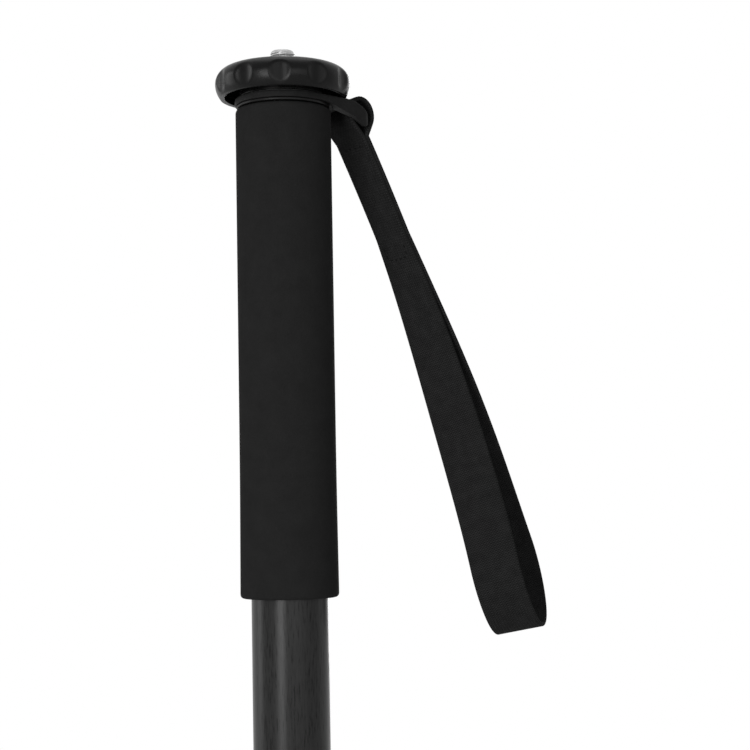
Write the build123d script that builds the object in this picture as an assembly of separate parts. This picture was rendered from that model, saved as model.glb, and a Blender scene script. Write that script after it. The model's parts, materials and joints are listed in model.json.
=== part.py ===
from build123d import *
import math
import os

# A four-section carbon monopod, collapsed and upright, in millimetres.
# The origin is the middle of the rubber foot's sole, and +Z runs up to the camera stud.

# Tubes
UPPER_TUBE_RADIUS = 14.0
TUBE_WALL = 1.0
NESTING_GAP = 0.5
BARE_TUBE_LENGTH = 184.0
INNER_TUBE_HEADROOM = 6.0

# Clearances
SEAT_GAP = 0.03
RUNNING_GAP = 0.05
FACE_GAP = 0.1
SOFT_GAP = 0.3
CUT_OVERRUN = 1.0

# Foam grip
GRIP_LENGTH = 179.6
GRIP_RADIUS = 17.65
GRIP_FLARE = 0.35
GRIP_FLARE_HEIGHT = 42.0
GRIP_EDGE_ROUND = 1.7

# Rubber foot, its spike and the plug that carries them
FOOT_HEIGHT = 28.0
FOOT_RADIUS = 14.0
FOOT_NECK_RADIUS = 12.0
FOOT_SOLE_HEIGHT = 7.0
FOOT_TAPER_HEIGHT = 4.0
FOOT_SOLE_THICKNESS = 6.0
FOOT_EDGE = 1.2
FOOT_GROOVE_DEPTH = 0.7
FOOT_GROOVE_HEIGHT = 1.6
FOOT_GROOVE_PITCH = 3.6
FOOT_GROOVES = 4
SPIKE_RADIUS = 2.5
SPIKE_COLLAR_RADIUS = 4.0
SPIKE_COLLAR_HEIGHT = 2.6
SPIKE_TIP_HEIGHT = 4.5
SPIKE_LENGTH = 7.5
SPIKE_TIP_CLEARANCE = 1.5
SPIKE_SHANK_LENGTH = 13.0
PLUG_SHOULDER = 3.0
PLUG_SPIGOT_LENGTH = 16.0

# Twist locks, counted from the top: 1 on the upper tube, 3 just above the foot
LOCKS = 3
FOOT_TO_LOCK_GAP = 2.0
LOCK_GAP = 1.0
NUT_HEIGHT = 30.0
NUT_WALL = 1.2
NUT_LIP = 2.0
NUT_RIM = 2.2
NUT_EDGE = 0.5
COLLAR_HEIGHT = 7.7
COLLAR_EDGE = 1.0
FERRULE_WALL = 1.2
FERRULE_START = 10.0
TUBE_SEAT = 20.0
SLEEVE_WALL = 1.2
SLEEVE_GROOVES = 20
SLEEVE_GROOVE_DEPTH = 0.55
SLEEVE_GROOVE_RADIUS = 1.1
COLLET_FLANGE_HEIGHT = 7.0
COLLET_SLIP = 0.15
COLLET_SPLIT = 1.6
COLLET_SLOTS = 6
COLLET_SLOT_LENGTH = 7.0

# Anti-rotation shims at the top of each inner tube
SHIM_HEIGHT = 36.0
SHIM_TOP_MARGIN = 2.0
SHIM_SPLIT = 6.0

# Neck, which is bonded into the upper tube and carries the strap ring and the wheel
NECK_SPIGOT_LENGTH = 20.0
NECK_FLANGE_RADIUS = 17.2
NECK_FLANGE_THICKNESS = 0.9
NECK_SEAM = 0.4
NECK_JOURNAL_RADIUS = 13.0
RING_END_PLAY = 0.2

# Scalloped wheel
WHEEL_RADIUS = 25.05
WHEEL_RIM_RADIUS = 23.2
WHEEL_HEIGHT = 11.25
WHEEL_TOP_ROUND = 5.9
WHEEL_RIM_ABOVE_RING = 0.5
WHEEL_SKIRT = 1.4
WHEEL_CEILING = 3.8
WHEEL_BOSS_RADIUS = 16.0
SCALLOPS = 11
SCALLOP_DEPTH = 1.2
SCALLOP_HALF_WIDTH = 4.2
SCALLOP_TURN = -2.3

# Hub, stud, pad and the fasteners that hold the wheel on the neck
HUB_SHAFT_RADIUS = 7.0
HUB_FLANGE_RADIUS = 9.0
HUB_FLANGE_THICKNESS = 3.6
STUD_RADIUS = 4.7625
STUD_ROOT_RADIUS = 4.4
STUD_PROTRUSION = 6.7
STUD_EMBEDDED = 9.0
STUD_TIP = 1.2
PAD_RADIUS = 18.4
PAD_RECESS = 0.8
PAD_THICKNESS = 1.2
PAD_HOLE_RADIUS = 5.6
PAD_EDGE = 0.3
WHEEL_WASHER_THICKNESS = 0.5
WHEEL_WASHER_RADIUS = 15.5
END_WASHER_RADIUS = 10.0
END_WASHER_THICKNESS = 0.8
END_SCREW_RADIUS = 3.0
END_SCREW_LENGTH = 12.0
END_SCREW_HEAD_RADIUS = 5.5
END_SCREW_HEAD_HEIGHT = 3.0
END_SCREW_SOCKET = 2.5
END_SCREW_SOCKET_DEPTH = 1.8

# Strap ring: a flat ring with an ear that droops and ends in a cross bar
RING_RADIUS = 17.9
RING_THICKNESS = 2.4
EAR_AZIMUTH = 30.0
EAR_ARM_THICKNESS = 2.0
EAR_SLOT_PLAY = 0.8
EAR_PLAN_REACH = 31.1
EAR_CORNER_RADIUS = 4.0
EAR_ROOT_REACH = 10.0
EAR_CHANNEL_REACH = 19.0
EAR_PLATE_REACH = 21.6
EAR_GRIP_GAP = 0.6
EAR_FLAT_REACH = 19.5
EAR_TIP_REACH = 30.4
EAR_DROOP = 4.5
EAR_DROOP_RADIUS = 15.5
EAR_SHOULDER_ROUND = 0.8
EAR_SIDE_REACH = 19.5
EAR_SIDE_DEPTH = 5.2
EAR_ELBOW_REACH = 23.5
EAR_ELBOW_DEPTH = 6.2
EAR_LIP_DROP = 11.0
EAR_LIP_ROUND = 2.0
EAR_BAR_RADIUS = 2.3
EAR_BAR_REACH = 27.7
EAR_BAR_DROP = 4.2
EAR_BAR_EMBEDDED = 0.5

# Wrist strap: one flat webbing, sewn into a small loop, a double band and a wrist loop
WEBBING_WIDTH = 19.4
WEBBING_THICKNESS = 1.5
STRAP_REACH = 30.2
STRAP_DROP = 12.3
STRAP_LENGTH = 202.9
STRAP_BAND_LENGTH = 49.7
STRAP_TOP_TILT = 27.2
STRAP_END_TILT = 16.5
STRAP_TWIST = 42.5
STRAP_TWIST_START = 39.4
STRAP_TWIST_LENGTH = 131.0
WRIST_HALF_OPENING = 15.7
WRIST_TURN_SHARE = 1.4
BAR_LOOP_RADIUS = 4.65
BAR_LOOP_HEIGHT_SHARE = 1.28
BAR_LOOP_OFFSET = 0.95
BAR_LOOP_RISE = 0.2
BAND_SPANS = 6
WRIST_SIDE_SPANS = 12
WRIST_TURN_SPANS = 12
BAR_LEG_SPANS = 2
BAR_TURN_SPANS = 14
SETTLING_ROUNDS = 30

# Levels worked out from the sizes above
LOCK_HEIGHT = NUT_HEIGHT + SOFT_GAP + COLLAR_HEIGHT
GRIP_BOTTOM = (
    FOOT_HEIGHT + FOOT_TO_LOCK_GAP + LOCKS * LOCK_HEIGHT
    + (LOCKS - 1) * LOCK_GAP + BARE_TUBE_LENGTH
)
GRIP_TOP = GRIP_BOTTOM + GRIP_LENGTH
TUBE_TOP = GRIP_TOP + NECK_SEAM
FLANGE_TOP = TUBE_TOP + NECK_FLANGE_THICKNESS
RING_BOTTOM = FLANGE_TOP + FACE_GAP
RING_TOP = RING_BOTTOM + RING_THICKNESS
JOURNAL_TOP = RING_TOP + RING_END_PLAY
BOSS_BOTTOM = JOURNAL_TOP + FACE_GAP + WHEEL_WASHER_THICKNESS
WHEEL_BOTTOM = RING_TOP + WHEEL_RIM_ABOVE_RING
WHEEL_TOP = WHEEL_BOTTOM + WHEEL_HEIGHT
PAD_FLOOR = WHEEL_TOP - PAD_RECESS
PAD_TOP = PAD_FLOOR + PAD_THICKNESS
HUB_TOP = PAD_FLOOR - FACE_GAP
HUB_SEAT = HUB_TOP - HUB_FLANGE_THICKNESS
STUD_TOP = WHEEL_TOP + STUD_PROTRUSION
NECK_BOTTOM = TUBE_TOP - NECK_SPIGOT_LENGTH
HUB_BOTTOM = NECK_BOTTOM - FACE_GAP
EAR_CHANNEL_HALF = WEBBING_WIDTH / 2 + EAR_SLOT_PLAY
EAR_HALF_WIDTH = EAR_CHANNEL_HALF + EAR_ARM_THICKNESS
INNER_TUBE_TOP = NECK_BOTTOM - INNER_TUBE_HEADROOM
PLUG_BOTTOM = FOOT_SOLE_THICKNESS + SPIKE_TIP_CLEARANCE + SPIKE_LENGTH
LOWEST_TUBE_BOTTOM = PLUG_BOTTOM + PLUG_SHOULDER

BASE = (Align.CENTER, Align.CENTER, Align.MIN)


def tube_radius(section):
    """Outer radius of a section: 0 is the upper tube and 3 the thinnest."""
    return UPPER_TUBE_RADIUS - section * (TUBE_WALL + NESTING_GAP)


def tube_bore(section):
    return tube_radius(section) - TUBE_WALL


def lock_base(lock):
    """Underside of a lock's nut."""
    return FOOT_HEIGHT + FOOT_TO_LOCK_GAP + (LOCKS - lock) * (LOCK_HEIGHT + LOCK_GAP)


def tube_end(section):
    """Bottom end of a section: in its own lock, or on the foot's plug."""
    if section < LOCKS:
        return lock_base(section + 1) + TUBE_SEAT
    return LOWEST_TUBE_BOTTOM


def disc(radius, bottom, top):
    return Pos(0, 0, bottom) * Cylinder(radius, top - bottom, align=BASE)


def sleeve(outer, inner, bottom, top):
    """Hollow cylinder, open at both ends."""
    return disc(outer, bottom, top) - disc(inner, bottom, top)


def lathe(lines):
    """Turn a closed outline, drawn as radius and height, about the upright axis."""
    return revolve(Plane.XZ * make_face(lines), axis=Axis.Z)


def turned(*points):
    return lathe(Polyline(*points, close=True))


# Tubes and shims

def section_tube(section):
    top = TUBE_TOP if section == 0 else INNER_TUBE_TOP
    return sleeve(tube_radius(section), tube_bore(section), tube_end(section), top)


def shim_pair(section):
    """Two half shells that fill the gap between an inner tube and the tube around it."""
    top = INNER_TUBE_TOP - SHIM_TOP_MARGIN
    outer = tube_bore(section - 1) - RUNNING_GAP
    shell = sleeve(outer, tube_radius(section) + SEAT_GAP, top - SHIM_HEIGHT, top)
    split = Pos(0, 0, top - SHIM_HEIGHT) * Box(2 * outer, SHIM_SPLIT, SHIM_HEIGHT, align=BASE)
    return shell - split


# Twist locks

def ferrule_bore(lock):
    return tube_radius(lock - 1) + SEAT_GAP


def ferrule_radius(lock):
    return ferrule_bore(lock) + FERRULE_WALL


def nut_bore(lock):
    return ferrule_radius(lock) + RUNNING_GAP


def nut_radius(lock):
    return nut_bore(lock) + NUT_WALL


def lock_radius(lock):
    return nut_radius(lock) + SEAT_GAP + SLEEVE_WALL


def lock_ferrule(lock):
    """Bush bonded outside the tube's end, with a collar that stays in sight above the nut."""
    base = lock_base(lock)
    top = base + LOCK_HEIGHT
    collar = top - COLLAR_HEIGHT
    bore, wall, outer = ferrule_bore(lock), ferrule_radius(lock), lock_radius(lock)
    return turned(
        (bore, base + FERRULE_START), (wall, base + FERRULE_START), (wall, collar),
        (outer, collar), (outer, top - COLLAR_EDGE), (outer - COLLAR_EDGE, top), (bore, top),
    )


def lock_collet(lock):
    """Split plastic collet around the inner tube, with fingers that reach into the ferrule."""
    base = lock_base(lock) + NUT_LIP + FACE_GAP
    shoulder = base + COLLET_FLANGE_HEIGHT
    top = tube_end(lock - 1) - FACE_GAP
    inner = tube_radius(lock) + RUNNING_GAP
    flange = nut_bore(lock) - COLLET_SLIP
    fingers = ferrule_bore(lock) - COLLET_SLIP
    collet = turned(
        (inner, base), (flange, base), (flange, shoulder), (fingers, shoulder),
        (fingers, top), (inner, top),
    )
    collet -= Pos(flange / 2, 0, base) * Box(flange, COLLET_SPLIT, top - base, align=BASE)
    slot = Pos(fingers, 0, top - COLLET_SLOT_LENGTH) * Box(
        2 * NESTING_GAP + 2 * TUBE_WALL, COLLET_SPLIT, COLLET_SLOT_LENGTH, align=BASE)
    for turn in range(1, COLLET_SLOTS):
        collet -= Rot(0, 0, turn * 360 / COLLET_SLOTS) * slot
    return collet


def lock_nut(lock):
    """Nut that turns on the ferrule and squeezes the collet; its rims hold the rubber sleeve."""
    base = lock_base(lock)
    top = base + NUT_HEIGHT
    lip = tube_radius(lock) + SOFT_GAP
    bore, waist, rim = nut_bore(lock), nut_radius(lock), lock_radius(lock)
    return turned(
        (lip, base), (rim - NUT_EDGE, base), (rim, base + NUT_EDGE), (rim, base + NUT_RIM),
        (waist, base + NUT_RIM), (waist, top - NUT_RIM), (rim, top - NUT_RIM),
        (rim, top - NUT_EDGE), (rim - NUT_EDGE, top), (bore, top),
        (bore, base + NUT_LIP), (lip, base + NUT_LIP),
    )


def lock_sleeve(lock):
    """Ribbed rubber sleeve between the nut's rims."""
    bottom = lock_base(lock) + NUT_RIM + SEAT_GAP
    top = lock_base(lock) + NUT_HEIGHT - NUT_RIM - SEAT_GAP
    outer = lock_radius(lock)
    rubber = sleeve(outer, nut_radius(lock) + SEAT_GAP, bottom, top)
    reach = outer + SLEEVE_GROOVE_RADIUS - SLEEVE_GROOVE_DEPTH
    groove = Pos(reach, 0, 0) * disc(SLEEVE_GROOVE_RADIUS, bottom, top)
    for turn in range(SLEEVE_GROOVES):
        rubber -= Rot(0, 0, turn * 360 / SLEEVE_GROOVES) * groove
    return rubber


# Foot

def rubber_foot():
    """Push-on rubber foot with a solid sole, a well for the spike and rings to grip it by."""
    cup = tube_radius(LOCKS) + RUNNING_GAP
    well = SPIKE_COLLAR_RADIUS + SOFT_GAP
    floor = PLUG_BOTTOM - FACE_GAP
    taper_top = FOOT_SOLE_HEIGHT + FOOT_TAPER_HEIGHT
    foot = turned(
        (0, 0), (FOOT_RADIUS - FOOT_EDGE, 0), (FOOT_RADIUS, FOOT_EDGE),
        (FOOT_RADIUS, FOOT_SOLE_HEIGHT), (FOOT_NECK_RADIUS, taper_top),
        (FOOT_NECK_RADIUS, FOOT_HEIGHT), (cup, FOOT_HEIGHT), (cup, floor), (well, floor),
        (well, FOOT_SOLE_THICKNESS), (0, FOOT_SOLE_THICKNESS),
    )
    for ring in range(FOOT_GROOVES):
        bottom = taper_top + (ring + 1) * FOOT_GROOVE_PITCH - FOOT_GROOVE_HEIGHT
        foot -= sleeve(
            FOOT_NECK_RADIUS + CUT_OVERRUN, FOOT_NECK_RADIUS - FOOT_GROOVE_DEPTH,
            bottom, bottom + FOOT_GROOVE_HEIGHT)
    return foot


def foot_plug():
    """Metal plug bonded in the lowest tube, drilled for the spike's shank."""
    shank = SPIKE_RADIUS + SEAT_GAP
    spigot = tube_bore(LOCKS) - SEAT_GAP
    top = LOWEST_TUBE_BOTTOM + PLUG_SPIGOT_LENGTH
    return turned(
        (shank, PLUG_BOTTOM), (tube_radius(LOCKS), PLUG_BOTTOM),
        (tube_radius(LOCKS), LOWEST_TUBE_BOTTOM), (spigot, LOWEST_TUBE_BOTTOM),
        (spigot, top), (shank, top),
    )


def foot_spike():
    collar = PLUG_BOTTOM - SPIKE_COLLAR_HEIGHT
    tip = PLUG_BOTTOM - SPIKE_LENGTH
    return turned(
        (0, tip), (SPIKE_RADIUS, tip + SPIKE_TIP_HEIGHT), (SPIKE_RADIUS, collar),
        (SPIKE_COLLAR_RADIUS, collar), (SPIKE_COLLAR_RADIUS, PLUG_BOTTOM),
        (SPIKE_RADIUS, PLUG_BOTTOM), (SPIKE_RADIUS, PLUG_BOTTOM + SPIKE_SHANK_LENGTH),
        (0, PLUG_BOTTOM + SPIKE_SHANK_LENGTH),
    )


# Grip and neck

def foam_grip():
    """Foam sleeve with rounded ends that swells a little towards its lower end."""
    low, bore = GRIP_RADIUS + GRIP_FLARE, UPPER_TUBE_RADIUS + SEAT_GAP
    flare_top = GRIP_BOTTOM + GRIP_FLARE_HEIGHT
    outline = Polyline(
        (bore, GRIP_BOTTOM), (low, GRIP_BOTTOM), (GRIP_RADIUS, flare_top),
        (GRIP_RADIUS, GRIP_TOP), (bore, GRIP_TOP), close=True)
    face = make_face(outline)
    corners = [v for v in face.vertices() if v.X > GRIP_RADIUS - SEAT_GAP and not
               GRIP_BOTTOM + SEAT_GAP < v.Y < GRIP_TOP - SEAT_GAP]
    return revolve(Plane.XZ * fillet(corners, GRIP_EDGE_ROUND), axis=Axis.Z)


def head_neck():
    """Turned neck: a spigot in the tube, a thin flange on its end and a journal above."""
    spigot = tube_bore(0) - SEAT_GAP
    bore = HUB_SHAFT_RADIUS + RUNNING_GAP
    return turned(
        (bore, NECK_BOTTOM), (spigot, NECK_BOTTOM), (spigot, TUBE_TOP),
        (NECK_FLANGE_RADIUS, TUBE_TOP), (NECK_FLANGE_RADIUS, FLANGE_TOP),
        (NECK_JOURNAL_RADIUS, FLANGE_TOP), (NECK_JOURNAL_RADIUS, JOURNAL_TOP),
        (bore, JOURNAL_TOP),
    )


# Wheel and what turns with it

def thumb_wheel():
    """Barrel-edged wheel, hollow below, with finger scallops all round."""
    ceiling = WHEEL_TOP - WHEEL_CEILING
    widest = WHEEL_TOP - WHEEL_TOP_ROUND
    crown = WHEEL_RADIUS - WHEEL_TOP_ROUND
    skirt = WHEEL_RIM_RADIUS - WHEEL_SKIRT
    shaft, flange = HUB_SHAFT_RADIUS + SEAT_GAP, HUB_FLANGE_RADIUS + SEAT_GAP
    recess = PAD_RADIUS + SEAT_GAP
    outline = [
        TangentArc((WHEEL_RADIUS, widest), (WHEEL_RIM_RADIUS, WHEEL_BOTTOM), tangent=(0, -1)),
        TangentArc((WHEEL_RADIUS, widest), (crown, WHEEL_TOP), tangent=(0, 1)),
        Polyline(
            (crown, WHEEL_TOP), (recess, WHEEL_TOP), (recess, PAD_FLOOR), (flange, PAD_FLOOR),
            (flange, HUB_SEAT), (shaft, HUB_SEAT), (shaft, BOSS_BOTTOM),
            (WHEEL_BOSS_RADIUS, BOSS_BOTTOM), (WHEEL_BOSS_RADIUS, ceiling), (skirt, ceiling),
            (skirt, WHEEL_BOTTOM), (WHEEL_RIM_RADIUS, WHEEL_BOTTOM)),
    ]
    wheel = lathe(outline)
    cutter = (SCALLOP_HALF_WIDTH ** 2 + SCALLOP_DEPTH ** 2) / (2 * SCALLOP_DEPTH)
    reach = WHEEL_RADIUS - SCALLOP_DEPTH + cutter
    scallop = Pos(0, -reach, 0) * disc(cutter, WHEEL_BOTTOM - CUT_OVERRUN, WHEEL_TOP + CUT_OVERRUN)
    for turn in range(SCALLOPS):
        wheel -= Rot(0, 0, SCALLOP_TURN + turn * 360 / SCALLOPS) * scallop
    return wheel


def wheel_hub():
    """Steel hub: a flange let into the wheel's top and a shaft that turns in the neck."""
    stud = STUD_ROOT_RADIUS + SEAT_GAP
    stud_floor = WHEEL_TOP - STUD_EMBEDDED - FACE_GAP
    screw = END_SCREW_RADIUS + SEAT_GAP
    screw_floor = HUB_BOTTOM + END_SCREW_LENGTH + FACE_GAP
    return turned(
        (stud, HUB_TOP), (HUB_FLANGE_RADIUS, HUB_TOP), (HUB_FLANGE_RADIUS, HUB_SEAT),
        (HUB_SHAFT_RADIUS, HUB_SEAT), (HUB_SHAFT_RADIUS, HUB_BOTTOM), (screw, HUB_BOTTOM),
        (screw, screw_floor), (0, screw_floor), (0, stud_floor), (stud, stud_floor),
    )


def camera_stud():
    """Stud that screws into the camera: a root in the hub, the screw above and a bevelled tip."""
    bottom = WHEEL_TOP - STUD_EMBEDDED
    return turned(
        (0, bottom), (STUD_ROOT_RADIUS, bottom), (STUD_ROOT_RADIUS, PAD_TOP),
        (STUD_RADIUS, PAD_TOP), (STUD_RADIUS, STUD_TOP - STUD_TIP),
        (STUD_RADIUS - STUD_TIP, STUD_TOP), (0, STUD_TOP),
    )


def platform_pad():
    """Rubber ring that the camera sits on."""
    return turned(
        (PAD_HOLE_RADIUS, PAD_FLOOR), (PAD_RADIUS, PAD_FLOOR), (PAD_RADIUS, PAD_TOP - PAD_EDGE),
        (PAD_RADIUS - PAD_EDGE, PAD_TOP), (PAD_HOLE_RADIUS, PAD_TOP),
    )


def wheel_washer():
    """Slippery washer between the wheel and the neck, wide enough to keep the ring down."""
    return sleeve(
        WHEEL_WASHER_RADIUS, HUB_SHAFT_RADIUS + SEAT_GAP, JOURNAL_TOP + FACE_GAP, BOSS_BOTTOM)


def end_washer():
    """Washer on the shaft's lower end that stops the hub from lifting out of the neck."""
    return sleeve(
        END_WASHER_RADIUS, END_SCREW_RADIUS + SEAT_GAP,
        HUB_BOTTOM - END_WASHER_THICKNESS, HUB_BOTTOM)


def end_screw():
    """Screw with a hexagon socket, from below into the hub's shaft."""
    head_top = HUB_BOTTOM - END_WASHER_THICKNESS
    head_bottom = head_top - END_SCREW_HEAD_HEIGHT
    screw = disc(END_SCREW_HEAD_RADIUS, head_bottom, head_top)
    screw += disc(END_SCREW_RADIUS, head_top, HUB_BOTTOM + END_SCREW_LENGTH)
    socket = extrude(RegularPolygon(END_SCREW_SOCKET, 6), END_SCREW_SOCKET_DEPTH)
    return screw - Pos(0, 0, head_bottom) * socket


# Strap ring

def ear_outline():
    """Plan of ring and ear: the tight outline round the ring and the ear's two corners."""
    corner_reach = EAR_PLAN_REACH - EAR_CORNER_RADIUS
    corner_side = EAR_HALF_WIDTH - EAR_CORNER_RADIUS
    rounds = Sketch() + Circle(RING_RADIUS)
    rounds += Pos(corner_reach, corner_side) * Circle(EAR_CORNER_RADIUS)
    rounds += Pos(corner_reach, -corner_side) * Circle(EAR_CORNER_RADIUS)
    return make_hull(rounds.edges())


def ear_side_view():
    """Side view of the ear: flat under the wheel, then drooping, and deeper towards its tip."""
    flat_end, shoulder = (EAR_FLAT_REACH, RING_TOP), (EAR_TIP_REACH, RING_TOP - EAR_DROOP)
    face = make_face([
        Line((EAR_ROOT_REACH, RING_TOP), flat_end),
        RadiusArc(flat_end, shoulder, EAR_DROOP_RADIUS),
        Polyline(
            shoulder, (EAR_TIP_REACH, RING_TOP - EAR_LIP_DROP),
            (EAR_ELBOW_REACH, RING_TOP - EAR_ELBOW_DEPTH),
            (EAR_SIDE_REACH, RING_TOP - EAR_SIDE_DEPTH),
            (EAR_ROOT_REACH, RING_BOTTOM), (EAR_ROOT_REACH, RING_TOP)),
    ])
    lip = face.vertices().group_by(Axis.X)[-1].sort_by(Axis.Y)[0]
    face = fillet(lip, EAR_LIP_ROUND)
    corner = face.vertices().group_by(Axis.X)[-1].sort_by(Axis.Y)[-1]
    return fillet(corner, EAR_SHOULDER_ROUND)


def across(sketch, half_width):
    """Extrude a side view to both sides of the ear's middle plane."""
    return extrude(Plane.XZ * sketch, half_width, both=True)


def ear_cut(start, top):
    """Block that clears the strap's way between the ear's arms, from a reach outwards."""
    end = EAR_PLAN_REACH + CUT_OVERRUN
    depth = top - RING_TOP + EAR_LIP_DROP + CUT_OVERRUN
    return Pos((start + end) / 2, 0, top) * Box(
        end - start, 2 * EAR_CHANNEL_HALF, depth, align=(Align.CENTER, Align.CENTER, Align.MAX))


def strap_ring():
    """Ring that turns on the neck, with a slot and a cross bar that hold the wrist strap."""
    plan = extrude(Pos(0, 0, RING_TOP - EAR_LIP_DROP) * ear_outline(), EAR_LIP_DROP)
    arms = across(ear_side_view(), RING_RADIUS)
    arms -= ear_cut(EAR_CHANNEL_REACH, RING_TOP + CUT_OVERRUN)
    arms -= ear_cut(EAR_ROOT_REACH - CUT_OVERRUN, RING_BOTTOM)
    arms -= disc(GRIP_RADIUS + EAR_GRIP_GAP, RING_TOP - EAR_LIP_DROP - CUT_OVERRUN, RING_BOTTOM)
    bar = across(Pos(EAR_BAR_REACH, RING_TOP - EAR_BAR_DROP) * Circle(EAR_BAR_RADIUS),
                 EAR_CHANNEL_HALF + EAR_BAR_EMBEDDED)
    plate = disc(EAR_PLATE_REACH, RING_BOTTOM, RING_TOP)
    bore = disc(NECK_JOURNAL_RADIUS + RUNNING_GAP, RING_BOTTOM, RING_TOP)
    return Rot(0, 0, EAR_AZIMUTH) * (((arms + bar + plate) & plan) - bore)


# Wrist strap

def twist_share(along):
    """Share of the strap's twist that is done at a place: none in the stiff sewn band."""
    share = (along - STRAP_TWIST_START) / STRAP_TWIST_LENGTH
    return math.sin(math.pi / 2 * min(max(share, 0), 1))


def strap_place(along):
    """Point, direction, width direction and normal of the strap's middle line."""
    top_tilt, end_tilt = math.radians(STRAP_TOP_TILT), math.radians(STRAP_END_TILT)
    bend = (end_tilt - top_tilt) / STRAP_LENGTH
    tilt = top_tilt + bend * along
    reach = STRAP_REACH + (math.cos(top_tilt) - math.cos(tilt)) / bend
    height = RING_TOP - STRAP_DROP - (math.sin(tilt) - math.sin(top_tilt)) / bend
    azimuth = math.radians(EAR_AZIMUTH)
    outward = Vector(math.cos(azimuth), math.sin(azimuth), 0)
    point = outward * reach + Vector(0, 0, height)
    direction = outward * math.sin(tilt) - Vector(0, 0, math.cos(tilt))
    facing = math.radians(EAR_AZIMUTH + 90 + STRAP_TWIST * twist_share(along))
    level = Vector(math.cos(facing), math.sin(facing), 0)
    width = (level - direction * level.dot(direction)).normalized()
    return point, direction, width, direction.cross(width)


def webbing_section(along, offset, slope, thickness):
    """Cross-section of webbing whose path leans by slope from the strap's middle line."""
    point, direction, width, normal = strap_place(along)
    heading = direction * math.cos(slope) + normal * math.sin(slope)
    return Plane(point + normal * offset, x_dir=width, z_dir=heading) * Rectangle(
        WEBBING_WIDTH, thickness)


def sewn_band():
    """Upper part of the strap, where two layers are sewn face to face."""
    return loft(
        [webbing_section(STRAP_BAND_LENGTH * n / BAND_SPANS, 0, 0, 2 * WEBBING_THICKNESS)
         for n in range(BAND_SPANS + 1)], ruled=True)


def wrist_turn():
    """Half width, depth, middle and lean of the oval end where the wrist loop turns back."""
    opening = WRIST_HALF_OPENING - WEBBING_THICKNESS / 2
    lean = 0
    for _ in range(SETTLING_ROUNDS):
        radius = WRIST_HALF_OPENING / math.cos(lean)
        depth = radius * WRIST_TURN_SHARE
        middle = STRAP_LENGTH - WEBBING_THICKNESS / 2 - depth
        start = middle - depth * math.sin(lean)
        lean = math.atan(2 * opening * WRIST_TURN_SHARE / (start - STRAP_BAND_LENGTH))
    return radius, depth, middle, lean


def wrist_loop():
    """Teardrop loop: two sides that part slowly and an oval turn at the bottom."""
    radius, depth, middle, lean = wrist_turn()
    start = middle - depth * math.sin(lean)
    half = WEBBING_THICKNESS / 2
    side = []
    for n in range(WRIST_SIDE_SPANS):
        share = n / WRIST_SIDE_SPANS
        along = STRAP_BAND_LENGTH + (start - STRAP_BAND_LENGTH) * share
        offset = half + (WRIST_HALF_OPENING - half) * share ** 2
        side.append((along, offset, math.atan(math.tan(lean) / WRIST_TURN_SHARE * share)))
    turn = []
    for n in range(WRIST_TURN_SPANS + 1):
        angle = -lean + (math.pi + 2 * lean) * n / WRIST_TURN_SPANS
        slope = math.atan2(-math.sin(angle), WRIST_TURN_SHARE * math.cos(angle))
        turn.append((middle + depth * math.sin(angle), radius * math.cos(angle), slope))
    sections = [webbing_section(*place, WEBBING_THICKNESS) for place in side + turn]
    sections += [webbing_section(along, -offset, math.pi - slope, WEBBING_THICKNESS)
                 for along, offset, slope in reversed(side)]
    return loft(sections, ruled=True)


def bar_loop():
    """Small oval loop that passes up through the ear's slot and round its bar."""
    outward = Vector(math.cos(math.radians(EAR_AZIMUTH)), math.sin(math.radians(EAR_AZIMUTH)), 0)
    middle = outward * (EAR_BAR_REACH + BAR_LOOP_OFFSET) + Vector(
        0, 0, RING_TOP - EAR_BAR_DROP + BAR_LOOP_RISE)
    stitch, direction, width, normal = strap_place(0)
    rise = (middle - stitch).normalized()
    side = width.cross(rise)
    distance = (middle - stitch).length / BAR_LOOP_HEIGHT_SHARE
    half = WEBBING_THICKNESS / 2
    lean = math.asin((BAR_LOOP_RADIUS - half) / distance)
    height = BAR_LOOP_RADIUS * BAR_LOOP_HEIGHT_SHARE
    places = []
    for sign in (1, -1):
        foot = stitch + normal * (half * sign)
        touch = middle + side * (BAR_LOOP_RADIUS * math.cos(lean) * sign) - rise * (
            height * math.sin(lean))
        leg = [(foot, -direction)]
        for n in range(1, BAR_LEG_SPANS):
            leg.append((foot + (touch - foot) * (n / BAR_LEG_SPANS), touch - foot))
        places.append(leg)
    turn = []
    for n in range(BAR_TURN_SPANS + 1):
        angle = -lean + (math.pi + 2 * lean) * n / BAR_TURN_SPANS
        spoke = side * (BAR_LOOP_RADIUS * math.cos(angle)) + rise * (height * math.sin(angle))
        heading = rise * (height * math.cos(angle)) - side * (BAR_LOOP_RADIUS * math.sin(angle))
        turn.append((middle + spoke, heading))
    back = [(point, -heading) for point, heading in reversed(places[1])]
    return loft(
        [Plane(point, x_dir=width, z_dir=heading) * Rectangle(WEBBING_WIDTH, WEBBING_THICKNESS)
         for point, heading in places[0] + turn + back], ruled=True)


def wrist_strap():
    return sewn_band() + wrist_loop() + bar_loop()


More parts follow.
